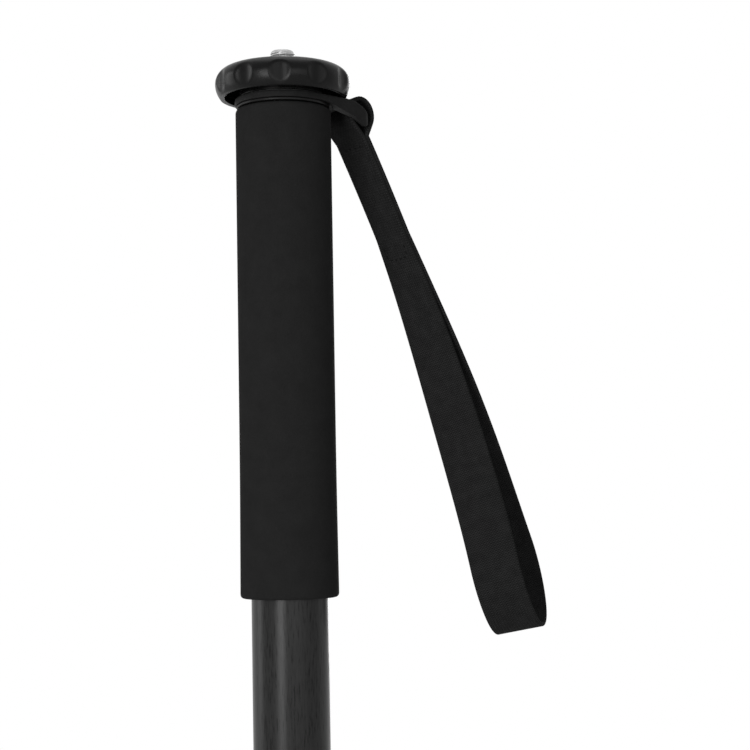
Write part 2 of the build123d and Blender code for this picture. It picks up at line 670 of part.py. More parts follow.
PARTS = {
    "foam_grip": foam_grip(),
    "head_neck": head_neck(),
    "thumb_wheel": thumb_wheel(),
    "wheel_hub": wheel_hub(),
    "camera_stud": camera_stud(),
    "platform_pad": platform_pad(),
    "wheel_washer": wheel_washer(),
    "end_washer": end_washer(),
    "end_screw": end_screw(),
    "strap_ring": strap_ring(),
    "wrist_strap": wrist_strap(),
    "foot_plug": foot_plug(),
    "foot_spike": foot_spike(),
    "rubber_foot": rubber_foot(),
}
for section, name in enumerate(("upper_tube", "second_tube", "third_tube", "fourth_tube")):
    PARTS[name] = section_tube(section)
    if section > 0:
        PARTS[f"{name}_shims"] = shim_pair(section)
for lock in range(1, LOCKS + 1):
    PARTS[f"lock_{lock}_ferrule"] = lock_ferrule(lock)
    PARTS[f"lock_{lock}_collet"] = lock_collet(lock)
    PARTS[f"lock_{lock}_nut"] = lock_nut(lock)
    PARTS[f"lock_{lock}_sleeve"] = lock_sleeve(lock)

os.makedirs("parts", exist_ok=True)
for name, solid in PARTS.items():
    export_step(solid, f"parts/{name}.step")
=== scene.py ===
import json
import math

import bmesh
import bpy
import numpy as np
from mathutils import Matrix, Vector

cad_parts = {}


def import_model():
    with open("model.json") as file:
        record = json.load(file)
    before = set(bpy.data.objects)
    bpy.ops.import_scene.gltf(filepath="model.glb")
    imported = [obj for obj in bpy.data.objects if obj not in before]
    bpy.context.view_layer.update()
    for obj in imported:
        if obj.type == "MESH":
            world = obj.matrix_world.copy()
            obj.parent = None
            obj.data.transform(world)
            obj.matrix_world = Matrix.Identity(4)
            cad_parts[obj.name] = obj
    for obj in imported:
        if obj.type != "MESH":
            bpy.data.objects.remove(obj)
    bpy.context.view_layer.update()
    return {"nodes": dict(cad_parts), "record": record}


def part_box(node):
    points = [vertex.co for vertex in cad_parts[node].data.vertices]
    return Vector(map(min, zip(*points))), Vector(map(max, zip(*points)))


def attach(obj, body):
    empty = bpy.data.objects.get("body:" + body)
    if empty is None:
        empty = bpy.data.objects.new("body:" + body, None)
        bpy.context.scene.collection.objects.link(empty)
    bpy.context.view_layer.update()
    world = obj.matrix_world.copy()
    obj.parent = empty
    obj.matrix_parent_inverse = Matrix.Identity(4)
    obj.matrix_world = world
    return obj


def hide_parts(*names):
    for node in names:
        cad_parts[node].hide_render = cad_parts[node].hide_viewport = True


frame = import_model()

# Lengths are in metres, as in the frame. MM turns a size in millimetres into metres.
MM = 0.001

# Levels and radii, read from the frame


def low(node):
    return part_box(node)[0]


def high(node):
    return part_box(node)[1]


def radius_of(node):
    """Outer radius of a round node on the monopod's axis."""
    return (high(node)[1] - low(node)[1]) / 2


GRIP_BOTTOM, GRIP_TOP = low("foam_grip")[2], high("foam_grip")[2]
RING_TOP = high("strap_ring")[2]
WHEEL_BOTTOM, WHEEL_TOP = low("thumb_wheel")[2], high("thumb_wheel")[2]
PAD_FLOOR, PAD_TOP = low("platform_pad")[2], high("platform_pad")[2]
STUD_TOP = high("camera_stud")[2]

# Camera, matched to the photograph by the grip, the tube and the wheel
CAMERA_DISTANCE = 660 * MM
CAMERA_ABOVE_GRIP = 35.5 * MM
CAMERA_YAW, CAMERA_PITCH, CAMERA_ROLL = (math.radians(a) for a in (2.81, 3.92, -1.0))
CAMERA_LENS = 86.4
SENSOR_WIDTH = 36.0
CAMERA_NEAR = 10 * MM

# Room, and its lamps: place, width and height, and watts
FLOOR_SIZE = 3.0
FLOOR_COLOUR = (0.8, 0.8, 0.8)
FLOOR_GLOW_NEAR, FLOOR_GLOW_FAR = 0.5, 0.82
FLOOR_GLOW_REACH = 0.8
ROOM_STRENGTH = 0.22
LAMPS_FACE = (0, 0, 0.45)
LAMPS = {
    "key_left": ((-0.7, -1.3, 0.44), (0.5, 0.8), 16),
    "front": ((0.3, -1.8, 0.6), (1.0, 0.7), 7),
    "fill_right": ((0.9, -1.3, 0.6), (0.8, 0.7), 3),
    "rim_left": ((-1.3, 0.3, 0.6), (0.4, 1.0), 5),
    "rim_right": ((1.3, 0.3, 0.6), (0.25, 1.0), 0.5),
    "top": ((0, 0.1, 1.6), (0.8, 0.8), 3),
    "back": ((0.4, 1.7, 0.6), (0.6, 0.9), 9),
}

# Materials: grains of each pattern per metre, shares in a mix, and how deep each pattern is
FOAM_CELLS, FOAM_SKIN, FOAM_CLOUDS = 5200, 900, 160
FOAM_CELL_SHARE = 0.75
FOAM_CELL_DEPTH, FOAM_SKIN_DEPTH = 0.05 * MM, 0.06 * MM
WEBBING_FIBRES, WEBBING_CLOUDS = 4200, 240
WEBBING_FIBRE_SHARE, WEBBING_CLOUD_SHARE = 0.5, 0.3
WEBBING_RIB_SHARE, WEBBING_YARN_SHARE = 0.1, 0.2
WEBBING_FIBRE_DEPTH, WEBBING_YARN_DEPTH = 0.05 * MM, 0.06 * MM
THREAD_TWISTS = 2600
THREAD_TWIST_DEPTH = 0.05 * MM
ANODISED_GRAINS, ANODISED_RUBS = 6000, 220
TURNING_MARKS, METAL_STAINS = (300, 300, 9000), 350
METAL_GRAIN_DEPTH = 0.02 * MM
CARBON_FIBRES, CARBON_FLECKS = (2600, 2600, 140), (1900, 1900, 190)
CARBON_FLECK_SHARE = 0.75
CARBON_FIBRE_DEPTH = 0.03 * MM
RUBBER_GRAINS, RUBBER_BLOOM = 3800, 260
RUBBER_GRAIN_DEPTH = 0.04 * MM
NYLON_GRAINS, NYLON_FLOW = 3000, 300
NYLON_GRAIN_DEPTH = 0.02 * MM

# Rounding of corners: its longest reach along each side, and that of an edge that stays sharp
CORNER_REACH_SHARE = 0.45
SHARP_EDGE = 0.03 * MM

# Tubes, neck and foam grip
TUBE_WALL = 1.0 * MM
TUBE_END_ROUND = 0.25 * MM
SEAT_GAP = 0.03 * MM
NECK_JOURNAL_RADIUS = 13.0 * MM
NECK_FLANGE_THICKNESS = 0.9 * MM
NECK_SEAM = 0.4 * MM
NECK_EDGE = 0.3 * MM
HUB_SHAFT_RADIUS = 7.0 * MM
GRIP_RADIUS = 17.65 * MM
GRIP_FLARE_HEIGHT = 42.0 * MM
GRIP_FLARE_BLEND = 20.0 * MM
GRIP_EDGE_ROUND = 2.8 * MM

# Wheel
WHEEL_RADIUS = 25.05 * MM
WHEEL_RIM_RADIUS = 23.2 * MM
WHEEL_TOP_ROUND = 5.9 * MM
WHEEL_SKIRT = 1.4 * MM
WHEEL_CEILING = 3.8 * MM
WHEEL_BOSS_RADIUS = 16.0 * MM
WHEEL_EDGE = 0.35 * MM
BARREL_STEPS, CROWN_STEPS = 20, 26
SCALLOPS = 11
SCALLOP_DEPTH = 1.2 * MM
SCALLOP_HALF_WIDTH = 4.4 * MM
SCALLOP_TURN = math.radians(-2.3)
SCALLOP_EDGE = 0.5 * MM
SIDES_PER_SCALLOP = 88

# Platform pad
PAD_HOLE_RADIUS = 5.6 * MM
PAD_EDGE = 0.3 * MM
PAD_GROOVES = 5
PAD_GROOVE_WIDTH = 0.7 * MM
PAD_GROOVE_DEPTH = 0.3 * MM
PAD_MARGIN = 1.6 * MM

# Stud, threaded with sixteen turns to the inch
STUD_RADIUS = 4.7625 * MM
STUD_ROOT_RADIUS = 4.4 * MM
THREAD_PITCH = 1.5875 * MM
THREAD_DEPTH = 0.85 * MM
THREAD_FLAT_SHARE = 0.16
THREAD_START_SHARE = 0.5
THREAD_RUN_OUT = 0.1 * MM
STUD_TIP = 1.3 * MM
STUD_TIP_RADIUS = 4.4 * MM
STUD_FLAT_RADIUS = 3.2 * MM
STUD_SIDES = 96
STUD_LEVELS = 96

# Strap ring: grain of the remeshed surface, and how far its edges are worked down
RING_GRAIN = 0.2 * MM
RING_SMOOTHING = 14
RING_SMOOTHING_SHARE = 0.5
WELD_DISTANCE = 0.001 * MM

# Locks, with the tubes they join
OUTER_TUBES = ("upper_tube", "second_tube", "third_tube")
INNER_TUBES = ("second_tube", "third_tube", "fourth_tube")
NUT_LIP = 2.0 * MM
NUT_RIM = 2.2 * MM
NUT_WALL = 1.2 * MM
LOCK_EDGE = 0.6 * MM
COLLAR_HEIGHT = 7.7 * MM
COLLAR_EDGE = 1.0 * MM
FERRULE_WALL = 1.2 * MM
SLEEVE_WALL = 1.2 * MM
SLEEVE_RIBS = 20
SLEEVE_GROOVE_DEPTH = 0.6 * MM
SLEEVE_GROOVE_SHARE = 0.42
SIDES_PER_RIB = 16
NUT_SLIDE_GAP = 0.3 * MM

# Foot
FOOT_RADIUS = 14.0 * MM
FOOT_NECK_RADIUS = 12.0 * MM
FOOT_SOLE_HEIGHT = 7.0 * MM
FOOT_TAPER_HEIGHT = 4.0 * MM
FOOT_SOLE_THICKNESS = 6.0 * MM
FOOT_EDGE = 1.6 * MM
FOOT_WELL_RADIUS = 4.3 * MM
FOOT_GROOVE_DEPTH = 0.7 * MM
FOOT_GROOVE_HEIGHT = 1.6 * MM
FOOT_GROOVE_PITCH = 3.6 * MM
FOOT_GROOVES = 4
SPIKE_RADIUS = 2.5 * MM
SPIKE_POINT = 0.25 * MM
SPIKE_TIP_HEIGHT = 4.5 * MM
SPIKE_COLLAR_HEIGHT = 2.6 * MM

# Wrist strap: its middle line, as in the solids
EAR_AZIMUTH = math.radians(30.0)
WEBBING_WIDTH = 19.4 * MM
WEBBING_THICKNESS = 1.5 * MM
STRAP_REACH = 30.2 * MM
STRAP_DROP = 12.3 * MM
STRAP_LENGTH = 202.9 * MM
STRAP_BAND_LENGTH = 49.7 * MM
STRAP_TOP_TILT = math.radians(27.2)
STRAP_END_TILT = math.radians(16.5)
STRAP_TWIST = math.radians(42.5)
STRAP_TWIST_START = 39.4 * MM
STRAP_TWIST_LENGTH = 131.0 * MM
WRIST_HALF_OPENING = 15.7 * MM
WRIST_TURN_SHARE = 1.4
BAR_LOOP_RADIUS = 4.65 * MM
BAR_LOOP_HEIGHT_SHARE = 1.28
BAR_LOOP_REACH = 28.65 * MM
BAR_LOOP_DROP = 4.0 * MM
BAR_TURN_STEPS, BAR_LEG_STEPS = 48, 7
LAYER_STEPS = 40
SETTLING_ROUNDS = 30

# Weave of the webbing, and its stitches
RIB_PITCH = 1.0 * MM
RIB_HEIGHT = 0.1 * MM
RIB_STEPS = 4
SELVAGE_ROUND = 0.55 * MM
SELVAGE_LIFT_SHARE = 0.4
SELVAGE_STEPS, ACROSS_STEPS = 6, 20
YARN_PITCH = 1.2 * MM
YARN_TURNS = 2 * math.pi / YARN_PITCH
RIB_TURNS = 2 * math.pi / RIB_PITCH
STITCH_LENGTH = 2.2 * MM
STITCH_GAP = 0.8 * MM
STITCH_RADIUS = 0.36 * MM
STITCH_SINK = 0.1 * MM
STITCH_END_SHARE = 0.35
STITCH_INSET = 3.2 * MM
FIRST_SEAM = 2.9 * MM
LAST_SEAM = 48.6 * MM
SIDE_SEAM_LENGTH = 6.0 * MM
SEAM_CORNER = 2.5 * MM
SEAM_CORNER_STEPS = 4
STITCH_ROWS, STITCH_SIDES = 9, 8

UP = Vector((0, 0, 1))


# Mesh helpers

def piece(name, verts, faces, material, smooth=True):
    """Mesh object of one material, placed in the scene."""
    mesh = bpy.data.meshes.new(name)
    mesh.from_pydata([tuple(v) for v in verts], [], [tuple(f) for f in faces])
    mesh.materials.append(material)
    if smooth:
        mesh.polygons.foreach_set("use_smooth", [True] * len(mesh.polygons))
    mesh.update()
    obj = bpy.data.objects.new(name, mesh)
    bpy.context.scene.collection.objects.link(obj)
    return obj


def grid_faces(rows, columns, wrap_rows=False):
    """Quads between rows of points, each row a closed ring. wrap_rows joins the last to the first."""
    faces = []
    for row in range(rows if wrap_rows else rows - 1):
        below, above = row * columns, (row + 1) % rows * columns
        for here in range(columns):
            beside = (here + 1) % columns
            faces.append((below + here, below + beside, above + beside, above + here))
    return faces


def end_faces(rows, columns):
    """The two flat faces that close such rows at the first and at the last of them."""
    last = (rows - 1) * columns
    return [tuple(range(columns - 1, -1, -1)), tuple(range(last, last + columns))]


def rounded(points, radius, steps=4):
    """Closed outline in a plane, with each corner replaced by a small curve."""
    out = []
    count = len(points)
    for n in range(count):
        before, at, after = (Vector(points[(n + k) % count]) for k in (-1, 0, 1))
        back, on = before - at, after - at
        size = radius[n] if isinstance(radius, (list, tuple)) else radius
        if size == 0:
            out.append(at)
            continue
        reach = min(size, CORNER_REACH_SHARE * back.length, CORNER_REACH_SHARE * on.length)
        start, end = at + back.normalized() * reach, at + on.normalized() * reach
        for k in range(steps + 1):
            share = k / steps
            out.append(start.lerp(at, share).lerp(at.lerp(end, share), share))
    return out


def lathe(name, outline, material, sides=128, shape=None, capped=False):
    """Outline of radius and height turned about the axis: closed on itself, or with flat ends.

    shape, when given, works out the radius from the outline's own, the height and the angle.
    """
    verts = []
    for r, z in outline:
        for s in range(sides):
            angle = 2 * math.pi * s / sides
            reach = shape(r, z, angle) if shape else r
            verts.append((reach * math.cos(angle), reach * math.sin(angle), z))
    faces = grid_faces(len(outline), sides, wrap_rows=not capped)
    if capped:
        faces += end_faces(len(outline), sides)
    return piece(name, verts, faces, material)


def dress(obj, body, node=None):
    """Hang a piece on a body of the record, and put it in the place of a node where one is named."""
    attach(obj, body)
    if node:
        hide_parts(node)
    return obj


# Materials

class Shader:
    """A material's node tree, with short calls for the nodes that are used here."""

    def __init__(self, name, colour, roughness, metallic=0.0, specular=0.5):
        self.material = bpy.data.materials.new(name)
        self.material.use_nodes = True
        self.tree = self.material.node_tree
        self.bsdf = self.tree.nodes["Principled BSDF"]
        self.set("Base Color", (*colour, 1))
        self.set("Roughness", roughness)
        self.set("Metallic", metallic)
        self.set("Specular IOR Level", specular)
        self.place = self.tree.nodes.new("ShaderNodeTexCoord").outputs["Object"]

    def set(self, socket, value):
        self.bsdf.inputs[socket].default_value = value

    def link(self, value, socket):
        self.tree.links.new(value, self.bsdf.inputs[socket])

    def node(self, kind, **inputs):
        """Node with values or links in its inputs, whose names have _ where Blender has a space."""
        made = self.tree.nodes.new(kind)
        for socket, value in inputs.items():
            self.feed(made.inputs[socket.replace("_", " ")], value)
        return made

    def feed(self, socket, value):
        if isinstance(value, bpy.types.NodeSocket):
            self.tree.links.new(value, socket)
        else:
            socket.default_value = value

    def stretched(self, scale):
        made = self.node("ShaderNodeMapping", Vector=self.place)
        made.inputs["Scale"].default_value = scale
        return made.outputs["Vector"]

    def noise(self, scale, detail=4, roughness=0.6, vector=None):
        made = self.node("ShaderNodeTexNoise", Vector=vector or self.place, Scale=scale,
                         Detail=detail, Roughness=roughness)
        return made.outputs["Fac"]

    def ramp(self, value, stops):
        """Colour ramp from (place, colour) stops."""
        made = self.tree.nodes.new("ShaderNodeValToRGB")
        self.tree.links.new(value, made.inputs["Fac"])
        elements = made.color_ramp.elements
        for n, (place, colour) in enumerate(stops):
            element = elements[n] if n < 2 else elements.new(place)
            element.position = place
            element.color = (*colour, 1)
        return made.outputs["Color"]

    def span(self, value, low_out, high_out, low_in=0.3, high_in=0.7):
        """Value brought from one span to another."""
        made = self.tree.nodes.new("ShaderNodeMapRange")
        self.tree.links.new(value, made.inputs["Value"])
        made.inputs["From Min"].default_value = low_in
        made.inputs["From Max"].default_value = high_in
        made.inputs["To Min"].default_value = low_out
        made.inputs["To Max"].default_value = high_out
        return made.outputs["Result"]

    def math(self, operation, first, second=0.0):
        made = self.tree.nodes.new("ShaderNodeMath")
        made.operation = operation
        self.feed(made.inputs[0], first)
        self.feed(made.inputs[1], second)
        return made.outputs["Value"]

    def weighed(self, first, first_share, second, second_share):
        """Sum of two values, each times its share."""
        return self.math("ADD", self.math("MULTIPLY", first, first_share),
                         self.math("MULTIPLY", second, second_share))

    def bump(self, height, strength, depth, below=None):
        """Normal of a surface that a pattern raises, on top of the pattern below it."""
        made = self.tree.nodes.new("ShaderNodeBump")
        made.inputs["Strength"].default_value = strength
        made.inputs["Distance"].default_value = depth
        self.tree.links.new(height, made.inputs["Height"])
        if below is not None:
            self.tree.links.new(below, made.inputs["Normal"])
        return made.outputs["Normal"]

    def shade(self, value, start, end, dark, light, warmth=0.0):
        """Colour the material from a dark to a light grey, as the value goes from start to end."""
        stops = [(start, grey(dark, warmth)), (end, grey(light, warmth))]
        self.link(self.ramp(value, stops), "Base Color")

    def roughen(self, value, low_out, high_out):
        self.link(self.span(value, low_out, high_out), "Roughness")

    def raise_pattern(self, height, strength, depth, below=None):
        self.link(self.bump(height, strength, depth, below), "Normal")


def grey(level, warmth=0.0):
    """Grey colour, which some warmth turns from blue towards red."""
    return (level * (1 + warmth), level, level * (1 - warmth))


def foam_material():
    """Closed-cell foam with a fine, matt skin."""
    shader = Shader("foam", grey(0.011), roughness=0.9, specular=0.02)
    cells = shader.noise(FOAM_CELLS, detail=3)
    clouds = shader.noise(FOAM_CLOUDS, detail=3)
    mixed = shader.weighed(cells, FOAM_CELL_SHARE, clouds, 1 - FOAM_CELL_SHARE)
    shader.shade(mixed, start=0.32, end=0.68, dark=0.0085, light=0.0155)
    shader.roughen(cells, low_out=0.82, high_out=0.98)
    skin = shader.bump(shader.noise(FOAM_SKIN), strength=0.2, depth=FOAM_SKIN_DEPTH)
    shader.raise_pattern(cells, strength=0.45, depth=FOAM_CELL_DEPTH, below=skin)
    return shader.material


def webbing_material():
    """Woven nylon: yarns run along the strap between the ribs that cross it."""
    shader = Shader("webbing", grey(0.013), roughness=0.85, specular=0.015)
    weave = shader.tree.nodes.new("ShaderNodeUVMap").outputs["UV"]
    split = shader.node("ShaderNodeSeparateXYZ", Vector=weave).outputs
    across = shader.math("SINE", shader.math("MULTIPLY", split["X"], YARN_TURNS))
    along = shader.math("SINE", shader.math("MULTIPLY", split["Y"], RIB_TURNS))
    yarn = shader.math("MULTIPLY", across, along)
    ribs_light = shader.span(along, 0.0, WEBBING_RIB_SHARE, low_in=-1.0, high_in=1.0)
    yarn_light = shader.span(yarn, -WEBBING_YARN_SHARE, WEBBING_YARN_SHARE, low_in=-1.0, high_in=1.0)
    fibres = shader.noise(WEBBING_FIBRES, detail=3)
    clouds = shader.noise(WEBBING_CLOUDS, detail=2)
    mixed = shader.weighed(fibres, WEBBING_FIBRE_SHARE, clouds, WEBBING_CLOUD_SHARE)
    mixed = shader.math("ADD", shader.math("ADD", mixed, ribs_light), yarn_light)
    shader.shade(mixed, start=0.3, end=0.72, dark=0.0065, light=0.021)
    shader.roughen(fibres, low_out=0.7, high_out=0.9)
    body = shader.bump(yarn, strength=0.4, depth=WEBBING_YARN_DEPTH)
    shader.raise_pattern(fibres, strength=0.4, depth=WEBBING_FIBRE_DEPTH, below=body)
    return shader.material


def thread_material():
    """Black sewing thread, painted much darker than the equally black webbing to stand for the shade
    in the dimples where the stitches pull in, and lightened here and there by its twist.
    """
    # Painted shade: the thread's greys sit well below the webbing's, so the stitches show as the
    # shaded dimples they sink into.
    shader = Shader("sewing_thread_with_painted_shade", grey(0.003), roughness=0.8, specular=0.03)
    twist = shader.noise(THREAD_TWISTS, detail=2)
    shader.shade(twist, start=0.35, end=0.65, dark=0.0015, light=0.0045)
    shader.raise_pattern(twist, strength=0.5, depth=THREAD_TWIST_DEPTH)
    return shader.material


def anodised_material(name, level, roughness, specular):
    """Black anodised metal, a little rubbed."""
    shader = Shader(name, grey(level), roughness, specular=specular)
    grains = shader.noise(ANODISED_GRAINS, detail=2)
    rubs = shader.noise(ANODISED_RUBS, detail=5)
    shader.shade(rubs, start=0.35, end=0.7, dark=level * 0.8, light=level * 1.25)
    shader.roughen(rubs, low_out=roughness - 0.05, high_out=roughness + 0.08)
    shader.raise_pattern(grains, strength=0.25, depth=METAL_GRAIN_DEPTH)
    return shader.material


def metal_material(name, level, roughness):
    """Bright turned metal, with fine marks that run round it."""
    shader = Shader(name, grey(level), roughness, metallic=1.0)
    marks = shader.noise(1.0, detail=3, vector=shader.stretched(TURNING_MARKS))
    stains = shader.noise(METAL_STAINS)
    shader.shade(stains, start=0.3, end=0.7, dark=level * 0.82, light=level * 1.06)
    shader.roughen(marks, low_out=roughness - 0.06, high_out=roughness + 0.12)
    shader.raise_pattern(marks, strength=0.3, depth=METAL_GRAIN_DEPTH)
    return shader.material


def carbon_material():
    """Lengthwise carbon fibres with short dark flecks, under a satin lacquer."""
    shader = Shader("carbon", grey(0.01), roughness=0.35, specular=0.13)
    fibres = shader.noise(1.0, roughness=0.7, vector=shader.stretched(CARBON_FIBRES))
    flecks = shader.noise(1.0, detail=3, vector=shader.stretched(CARBON_FLECKS))
    mixed = shader.weighed(fibres, 1 - CARBON_FLECK_SHARE, flecks, CARBON_FLECK_SHARE)
    stops = [(0.4, grey(0.0005)), (0.44, grey(0.0085)), (0.62, grey(0.013))]
    shader.link(shader.ramp(mixed, stops), "Base Color")
    shader.roughen(fibres, low_out=0.27, high_out=0.37)
    shader.raise_pattern(fibres, strength=0.12, depth=CARBON_FIBRE_DEPTH)
    return shader.material


def rubber_material():
    """Moulded rubber with a cloudy bloom."""
    shader = Shader("rubber", grey(0.01), roughness=0.7, specular=0.12)
    bloom = shader.noise(RUBBER_BLOOM, detail=5)
    grains = shader.noise(RUBBER_GRAINS, detail=3)
    shader.shade(bloom, start=0.32, end=0.7, dark=0.007, light=0.014)
    shader.roughen(bloom, low_out=0.58, high_out=0.74)
    shader.raise_pattern(grains, strength=0.35, depth=RUBBER_GRAIN_DEPTH)
    return shader.material


def nylon_material(name, level, warmth):
    """Moulded nylon, whose shade follows its flow."""
    shader = Shader(name, grey(level, warmth), roughness=0.5, specular=0.3)
    flow = shader.noise(NYLON_FLOW)
    shader.shade(flow, start=0.3, end=0.7, dark=level * 0.9, light=level * 1.12, warmth=warmth)
    shader.raise_pattern(shader.noise(NYLON_GRAINS), strength=0.2, depth=NYLON_GRAIN_DEPTH)
    return shader.material


def seen_rays(tree):
    """1 for camera, glossy and transmission rays, and 0 for the rays that light things."""
    path = tree.nodes.new("ShaderNodeLightPath").outputs
    seen = path["Is Camera Ray"]
    for other in ("Is Glossy Ray", "Is Transmission Ray"):
        made = tree.nodes.new("ShaderNodeMath")
        made.operation = "MAXIMUM"
        tree.links.new(seen, made.inputs[0])
        tree.links.new(path[other], made.inputs[1])
        seen = made.outputs["Value"]
    return seen


def floor_material():
    """Pale floor that is white where it is seen, but for the object's shadow."""
    shader = Shader("floor", FLOOR_COLOUR, roughness=0.9, specular=0.0)
    tree = shader.tree
    scale = (1 / FLOOR_GLOW_REACH,) * 3
    nearness = shader.node("ShaderNodeTexGradient", Vector=shader.stretched(scale))
    nearness.gradient_type = "SPHERICAL"
    strength = shader.span(nearness.outputs["Fac"], FLOOR_GLOW_FAR, FLOOR_GLOW_NEAR,
                           low_in=0, high_in=1)
    glow = shader.node("ShaderNodeEmission", Color=(1, 1, 1, 1), Strength=strength)
    both = tree.nodes.new("ShaderNodeAddShader")
    tree.links.new(shader.bsdf.outputs[0], both.inputs[0])
    tree.links.new(glow.outputs[0], both.inputs[1])
    mix = tree.nodes.new("ShaderNodeMixShader")
    tree.links.new(seen_rays(tree), mix.inputs[0])
    tree.links.new(shader.bsdf.outputs[0], mix.inputs[1])
    tree.links.new(both.outputs[0], mix.inputs[2])
    tree.links.new(mix.outputs[0], tree.nodes["Material Output"].inputs["Surface"])
    return shader.material


FOAM = foam_material()
WEBBING = webbing_material()
THREAD = thread_material()
WHEEL_METAL = anodised_material("wheel_metal", level=0.0028, roughness=0.28, specular=0.09)
RING_METAL = anodised_material("ring_metal", level=0.0085, roughness=0.5, specular=0.035)
LOCK_METAL = anodised_material("lock_metal", level=0.007, roughness=0.38, specular=0.15)
NECK_METAL = anodised_material("neck_metal", level=0.006, roughness=0.4, specular=0.09)
PLUG_METAL = metal_material("plug_metal", level=0.4, roughness=0.34)
STEEL = metal_material("steel", level=0.42, roughness=0.4)
CARBON = carbon_material()
RUBBER = rubber_material()
NYLON = nylon_material("nylon", level=0.42, warmth=0.03)
BLACK_NYLON = nylon_material("black_nylon", level=0.008, warmth=0)

SLOT_MATERIALS = {
    "wheel_metal": WHEEL_METAL, "ring_metal": RING_METAL, "lock_metal": LOCK_METAL,
    "neck_metal": NECK_METAL, "plug_metal": PLUG_METAL, "steel": STEEL, "foam": FOAM,
    "webbing": WEBBING, "carbon": CARBON, "bearing_plastic": NYLON,
    "washer_plastic": BLACK_NYLON, "rubber": RUBBER,
}


def dress_nodes():
    """Give every carried-over node the material of its slot in the record."""
    for row in frame["record"]["subparts"]:
        node = frame["nodes"][row["node"]]
        for slot in node.material_slots:
            slot.material = SLOT_MATERIALS[row["material_slot"]]


# Foam grip

def foam_grip():
    """Foam sleeve with soft ends that swells towards its lower end."""
    low_outer = radius_of("foam_grip")
    flare_top = GRIP_BOTTOM + GRIP_FLARE_HEIGHT
    bore = radius_of("upper_tube") + SEAT_GAP
    corners = [(bore, GRIP_BOTTOM), (low_outer, GRIP_BOTTOM), (GRIP_RADIUS, flare_top),
               (GRIP_RADIUS, GRIP_TOP), (bore, GRIP_TOP)]
    radii = [SHARP_EDGE, GRIP_EDGE_ROUND, GRIP_FLARE_BLEND, GRIP_EDGE_ROUND, SHARP_EDGE]
    return lathe("foam_grip_sleeve", rounded(corners, radii, steps=8), FOAM, sides=160)


# Tubes and neck

def section_tube(name, node):
    """Thin tube with its two ends eased."""
    bottom, top = low(node)[2], high(node)[2]
    outer = radius_of(node)
    corners = [(outer - TUBE_WALL, bottom), (outer, bottom), (outer, top),
               (outer - TUBE_WALL, top)]
    return lathe(name, rounded(corners, TUBE_END_ROUND), CARBON)


def head_neck():
    """Turned neck: a spigot in the tube, a thin flange on it and the ring's journal above."""
    bottom, top = low("head_neck")[2], high("head_neck")[2]
    flange = radius_of("head_neck")
    flange_bottom = GRIP_TOP + NECK_SEAM
    flange_top = flange_bottom + NECK_FLANGE_THICKNESS
    spigot = radius_of("upper_tube") - TUBE_WALL - SEAT_GAP
    bore = HUB_SHAFT_RADIUS + SEAT_GAP
    corners = [(bore, bottom), (spigot, bottom), (spigot, flange_bottom), (flange, flange_bottom),
               (flange, flange_top), (NECK_JOURNAL_RADIUS, flange_top), (NECK_JOURNAL_RADIUS, top),
               (bore, top)]
    return lathe("turned_neck", rounded(corners, NECK_EDGE), NECK_METAL)


# Thumb wheel

def wheel_outline():
    """Closed section of the wheel: outer barrel, top face with its recess, and the hollow below."""
    widest = WHEEL_TOP - WHEEL_TOP_ROUND
    drop = widest - WHEEL_BOTTOM
    swell = WHEEL_RADIUS - WHEEL_RIM_RADIUS
    side_round = (drop ** 2 + swell ** 2) / (2 * swell)
    barrel = []
    for n in range(BARREL_STEPS + 1):
        z = WHEEL_BOTTOM + drop * n / BARREL_STEPS
        reach = WHEEL_RADIUS - side_round + math.sqrt(side_round ** 2 - (widest - z) ** 2)
        barrel.append((reach, z))
    for n in range(1, CROWN_STEPS + 1):
        angle = math.pi / 2 * n / CROWN_STEPS
        barrel.append((WHEEL_RADIUS - WHEEL_TOP_ROUND * (1 - math.cos(angle)),
                       widest + WHEEL_TOP_ROUND * math.sin(angle)))
    recess = radius_of("platform_pad") + SEAT_GAP
    hub = radius_of("wheel_hub")
    ceiling = WHEEL_TOP - WHEEL_CEILING
    boss_bottom = high("wheel_washer")[2]
    inside = rounded(
        [(recess, WHEEL_TOP), (recess, PAD_FLOOR), (hub, PAD_FLOOR), (hub, boss_bottom),
         (WHEEL_BOSS_RADIUS, boss_bottom), (WHEEL_BOSS_RADIUS, ceiling),
         (WHEEL_RIM_RADIUS - WHEEL_SKIRT, ceiling), (WHEEL_RIM_RADIUS - WHEEL_SKIRT, WHEEL_BOTTOM)],
        WHEEL_EDGE, steps=3)
    return barrel + [tuple(p) for p in inside]


def smooth_min(first, second, blend):
    """Lesser of two values, with the crossing rounded over about the blend's width."""
    gap = max(blend - abs(first - second), 0) / blend
    return min(first, second) - gap * gap * blend / 4


def scalloped(r, z, angle):
    """Radius of the wheel at an angle, with a finger scallop wherever a cutter has been."""
    cutter = (SCALLOP_HALF_WIDTH ** 2 + SCALLOP_DEPTH ** 2) / (2 * SCALLOP_DEPTH)
    reach = WHEEL_RADIUS - SCALLOP_DEPTH + cutter
    pitch = 2 * math.pi / SCALLOPS
    away = (angle + math.pi / 2 - SCALLOP_TURN + pitch / 2) % pitch - pitch / 2
    side = reach * math.sin(away)
    if r < WHEEL_RIM_RADIUS - WHEEL_SKIRT + WHEEL_EDGE or abs(side) >= cutter:
        return r
    limit = reach * math.cos(away) - math.sqrt(cutter ** 2 - side ** 2)
    return smooth_min(r, limit, SCALLOP_EDGE)


def thumb_wheel():
    return lathe("scalloped_wheel", wheel_outline(), WHEEL_METAL,
                 sides=SCALLOPS * SIDES_PER_SCALLOP, shape=scalloped)


